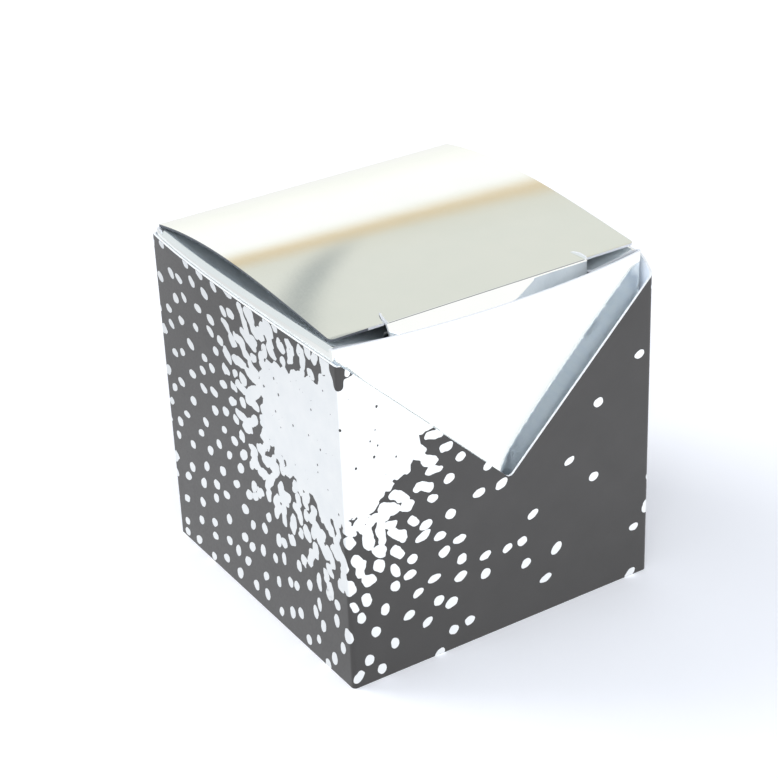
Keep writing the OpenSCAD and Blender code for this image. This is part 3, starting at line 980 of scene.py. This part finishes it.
def slit_curl(path, side):
    """The raised lip of pulp and film along one slit, on the tongue's side of it."""
    s_edge = shoulder_edge(path)
    rows, steps = [], 10
    for i in range(steps + 1):
        q = i / steps
        s = s_edge + 0.25 - (SLIT_L + 0.45) * q
        edge_w = slit_side(q, -1)
        rise = CURL_H * math.sin(math.pi * min(1.0, 0.2 + 0.8 * q)) ** 0.6 + 0.02
        (point,), (out,) = path.at(np.array([s]))
        for width, height in ((0.0, -0.05), (0.0, rise), (-CURL_W * 0.45, rise * 0.85), (-CURL_W, -0.05)):
            y, z = point + out * height
            rows.append((side * (edge_w + width), y, z))
    faces, slots = [], []
    for i in range(steps):
        for k in range(4):
            a, b = 4 * i + k, 4 * i + (k + 1) % 4
            faces.append([a, b, b + 4, a + 4])
            slots.append(2 if k in (0, 1) else 0)
    faces += [[3, 2, 1, 0], [4 * steps + k for k in range(4)]]
    slots += [2, 2]
    if side < 0:
        faces = [f[::-1] for f in faces]
    points = np.array(rows)
    return {"points": points, "faces": faces, "slots": slots, "flat": points[:, :2]}


def make_lid(materials):
    """The lid, with the cut edge of its sides and left shoulder in the fourth material, a dark grey of
    painted shade.
    """
    path = lid_path()
    over = lambda p, w: np.column_stack([w, p[:, 0], p[:, 1]])
    sheet = card(path, over, lid_outline(path), w_step=2.0, s_step=1.0, shift=flare)
    across = sheet["flat"][:, 1]
    # Side and left-shoulder cut edges take the painted-shade edge material.
    for i, face in enumerate(sheet["faces"]):
        on_side = np.abs(across[face]).min() > LID_W / 2 - 0.2 or across[face].max() < -TUCK_HALF_W - 0.6
        if sheet["slots"][i] == 2 and on_side:
            sheet["slots"][i] = 3
    back = rod(LID_BACK_W / 2, HINGE_Y, HINGE_Z, CARD_T / 2)
    return make_mesh("lid_card", [sheet, back, slit_curl(path, 1), slit_curl(path, -1)], materials)


# Dressing the object

black, foil = printed_black(), silver_foil()
mirror = mirror_board()
white_edge = cut_edge("white_cut_edge", "eceeef", "f8f9f9")
film_edge = cut_edge("film_board_cut_edge", "dfe2e5", "eceef0")
# Painted shade: the lid's side and left-shoulder cut edges in dark grey, where that edge lies in shade.
shaded_lid_edge = cut_edge("lid_cut_edge_painted_shade", "50545a", "62676d")
# Painted light: the sleeve's white back is tinted blue for the cool shade in the sleeve's gaps.
white_back = board_back("white_board_back", "e5eefa", "eff6fe")
pulp_back = board_back("pale_board_back", "d3dae2", "dde3ea")

sleeve = make_mesh("sleeve_card", [card(sleeve_path, upright, sleeve_outline(), shift=sleeve_bow)],
                   [black, white_back, white_edge])
specks = scatter_specks()
burst = make_mesh("silver_burst", burst_films(specks) + [far_specks(specks, foil)], [foil])
inner = make_mesh("tuck_box_card", [box_walls(), dust_flap(1), dust_flap(-1)] + box_base(),
                  [mirror, pulp_back, film_edge])
lid = make_lid([mirror, pulp_back, film_edge, shaded_lid_edge])

for piece, body, cad_node, finish in [
    (sleeve, "sleeve_body", "sleeve", "printed_card"), (burst, "sleeve_body", "silver_print", "silver_foil"),
    (inner, "box_body", "inner_box", "mirror_card"), (lid, "lid_body", "lid", "mirror_card"),
]:
    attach(piece, body)
    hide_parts(cad_node)


# Studio

def stage_plane(name, centre, right, up, material):
    """A flat card that isn't part of the object."""
    centre, right, up = (np.array(v, float) for v in (centre, right, up))
    corners = [centre - right - up, centre + right - up, centre + right + up, centre - right + up]
    mesh = bpy.data.meshes.new(name)
    mesh.from_pydata([tuple(c) for c in corners], [], [(0, 1, 2, 3)])
    mesh.materials.append(material)
    add_object(name, mesh)


def for_rays(tree, diffuse, camera, gloss):
    """One shader for diffuse rays, one for the camera's and one for glossy rays."""
    rays = node(tree, "ShaderNodeLightPath").outputs
    seen = node(tree, "ShaderNodeMixShader", {0: rays["Is Camera Ray"], 1: diffuse, 2: camera})
    return node(tree, "ShaderNodeMixShader", {
        0: rays["Is Glossy Ray"], 1: seen.outputs["Shader"], 2: gloss}).outputs["Shader"]


TABLE_LIFT = 0.14
TABLE_GLOSS = 1.36
# Painted light for gloss: the table's glow by depth in metres, bright in front of the box, painted shade
# close by and behind it.
TABLE_PAINTED_GLOSS_LEVELS = [
    (-0.1, 1.0), (-0.049, 1.0), (-0.04, 0.86), (-0.019, 0.73), (0.035, 0.77), (0.05, 0.77),
    (0.074, 0.66), (0.2, 0.64),
]


def floor_material():
    """Pale table: takes the box's soft shadow. To gloss it glows with painted light: brightest in front of
    the box, with painted shade close by and behind it."""
    material = bpy.data.materials.new("pale_table")
    material.use_nodes = True
    tree = material.node_tree
    tree.nodes.clear()
    diffuse = node(tree, "ShaderNodeBsdfDiffuse", {"Color": linear("f9fafd")}).outputs["BSDF"]
    place = node(tree, "ShaderNodeTexCoord").outputs["Object"]
    depth = node(tree, "ShaderNodeSeparateXYZ", {"Vector": place}).outputs["Y"]
    painted_gloss_colour = node(tree, "ShaderNodeMix", {
        "Factor": 1.0, "A": levels_along(tree, depth, TABLE_PAINTED_GLOSS_LEVELS), "B": linear("f9fbfe"),
    }, data_type="RGBA", blend_type="MULTIPLY")
    painted_gloss_glow = node(tree, "ShaderNodeEmission", {"Color": painted_gloss_colour.outputs["Result"], "Strength": TABLE_GLOSS})
    lift = node(tree, "ShaderNodeEmission", {"Strength": TABLE_LIFT}).outputs["Emission"]
    lifted = node(tree, "ShaderNodeAddShader", {0: diffuse, 1: lift}).outputs["Shader"]
    shown = for_rays(tree, diffuse, lifted, painted_gloss_glow.outputs["Emission"])
    end = node(tree, "ShaderNodeOutputMaterial")
    tree.links.new(shown, end.inputs["Surface"])
    return material


ROOM_LIGHT = 0.74
ROOM_GLOSS = 1.12
ROOM_LEVELS = [
    (-1.0, "f5f5f5"), (0.0, "f0f1ef"), (0.044, "f3f3f1"), (0.122, "f7f8f3"), (0.191, "fdfdf9"),
    (0.26, "ffffff"), (0.39, "ffffff"), (0.407, "f8f9f4"), (0.423, "eee8d8"), (0.4415, "dac8a6"),
    (0.457, "d7ccb4"), (0.475, "d9dad1"), (0.515, "dcded7"), (1.0, "d9dbd6"),
]
POLE_HEADING = 31.3
POLE_HALF_W = 0.0095
POLE_LEAN = 0.057
POLE_SHARE = 0.58


def world_light():
    """White room. Gloss sees its walls and ceiling with a tan edge between them, a dark pole
    beyond the box, a cooler wall on the left, and a white one in front with a dark gap high up."""
    world = bpy.data.worlds.new("white_room")
    bpy.context.scene.world = world
    world.use_nodes = True
    tree = world.node_tree
    tree.nodes.clear()
    way = node(tree, "ShaderNodeTexCoord").outputs["Generated"]
    parts = node(tree, "ShaderNodeSeparateXYZ", {"Vector": way}).outputs
    x, y, z = parts["X"], parts["Y"], parts["Z"]
    heading = math.radians(POLE_HEADING)
    across = (math.cos(heading), -math.sin(heading), -POLE_LEAN)
    beside = node(tree, "ShaderNodeVectorMath", {0: way, 1: across}, operation="DOT_PRODUCT").outputs["Value"]
    beside = node(tree, "ShaderNodeMath", {0: beside, 1: 0.45 * POLE_LEAN}).outputs[0]
    beside = node(tree, "ShaderNodeMath", {0: beside}, operation="ABSOLUTE").outputs[0]
    seen = levels_along(tree, z, ROOM_LEVELS)
    for code, share, limits in [
        ("7f888c", POLE_SHARE, [(beside, 2 * POLE_HALF_W, 0.0, "SMOOTHSTEP"), (z, 0.44, 0.52, "SMOOTHSTEP"),
                                (z, 0.70, 0.60, "SMOOTHSTEP"), (y, 0.0, 0.1, "LINEAR")]),
        ("e0e6ea", 1.0, [(x, 0.15, 0.0, "LINEAR")]),
        ("ffffff", 1.0, [(y, 0.05, -0.15, "LINEAR")]),
        ("565c63", 1.0, [(y, -0.1, -0.3, "LINEAR"), (z, 0.62, 0.68, "SMOOTHSTEP"),
                         (z, 0.86, 0.80, "SMOOTHSTEP")]),
    ]:
        for value, start, end, kind in limits:
            limit = node(tree, "ShaderNodeMapRange", {
                "Value": value, "From Min": start, "From Max": end}, interpolation_type=kind)
            share = node(tree, "ShaderNodeMath", {
                0: limit.outputs["Result"], 1: share}, operation="MULTIPLY").outputs[0]
        seen = node(tree, "ShaderNodeMix", {
            "Factor": share, "A": seen, "B": linear(code)}, data_type="RGBA").outputs["Result"]
    lights = [
        node(tree, "ShaderNodeBackground", {"Color": color, "Strength": strength}).outputs["Background"]
        for color, strength in [(linear("eff4fd"), ROOM_LIGHT), (linear("ffffff"), 1.0), (seen, ROOM_GLOSS)]
    ]
    shown = for_rays(tree, *lights)
    end = node(tree, "ShaderNodeOutputWorld")
    tree.links.new(shown, end.inputs["Surface"])


def softbox(name, place, aim, size, power):
    """A square area lamp pointed at a place."""
    lamp = bpy.data.lights.new(name, "AREA")
    lamp.shape = "SQUARE"
    lamp.size = size
    lamp.energy = power
    obj = add_object(name, lamp)
    obj.location = place
    obj.rotation_euler = (Vector(aim) - Vector(place)).to_track_quat("-Z", "Y").to_euler()
    return obj


def studio():
    """Table, room and three soft lamps. The back lamp would show as a glare on the lid, so gloss
    doesn't see it. The window card is seen by gloss alone: it lights the gaps by way of the
    mirror walls."""
    stage_plane("table_top", (0, 0, 0), (3.0, 0, 0), (0, 3.0, 0), floor_material())
    world_light()
    softbox("back_left_softbox", (-0.5, 0.6, 0.7), (0, 0, 0.025), 0.5, 4.6).visible_glossy = False
    softbox("front_left_softbox", (-0.4, -0.65, 0.6), (0, 0, 0.025), 0.6, 2.6)
    window = softbox("window_card", (-0.3, -1.05, 0.85), (0, 0, 0.04), 1.2, 12.0)
    window.visible_diffuse = False
    window.data.color = linear("e3edff")[:3]


# Camera, from the photo's corners and the sleeve's size

PHOTO_PX = 778
FOCAL_PX = 2084.144
AZIMUTH, ELEVATION, ROLL = -31.704, 28.425, -2.410
DISTANCE_MM = 297.323
AIM_MM = (0.0, 0.0, 25.0)
AIM_RIGHT_MM, AIM_UP_MM = -1.995, 1.735


def photo_camera():
    """The camera that took the photo, as far as its corners tell."""
    az, el, roll = (math.radians(a) for a in (AZIMUTH, ELEVATION, ROLL))
    back = Vector((math.sin(az) * math.cos(el), -math.cos(az) * math.cos(el), math.sin(el)))
    level = Vector((math.cos(az), math.sin(az), 0.0))
    raised = back.cross(level)
    right = math.cos(roll) * level + math.sin(roll) * raised
    up = math.cos(roll) * raised - math.sin(roll) * level
    data = bpy.data.cameras.new("photo_camera")
    data.sensor_width = 36.0
    data.lens = FOCAL_PX / PHOTO_PX * data.sensor_width
    data.clip_start, data.clip_end = 0.01, 20.0
    camera = add_object("photo_camera", data)
    place = Vector(AIM_MM) + back * DISTANCE_MM + right * AIM_RIGHT_MM + up * AIM_UP_MM
    turn = Matrix((right, up, back)).transposed().to_4x4()
    camera.matrix_world = Matrix.Translation(place * MM) @ turn
    bpy.context.scene.camera = camera


studio()
photo_camera()
bpy.context.scene.view_settings.view_transform = "Standard"
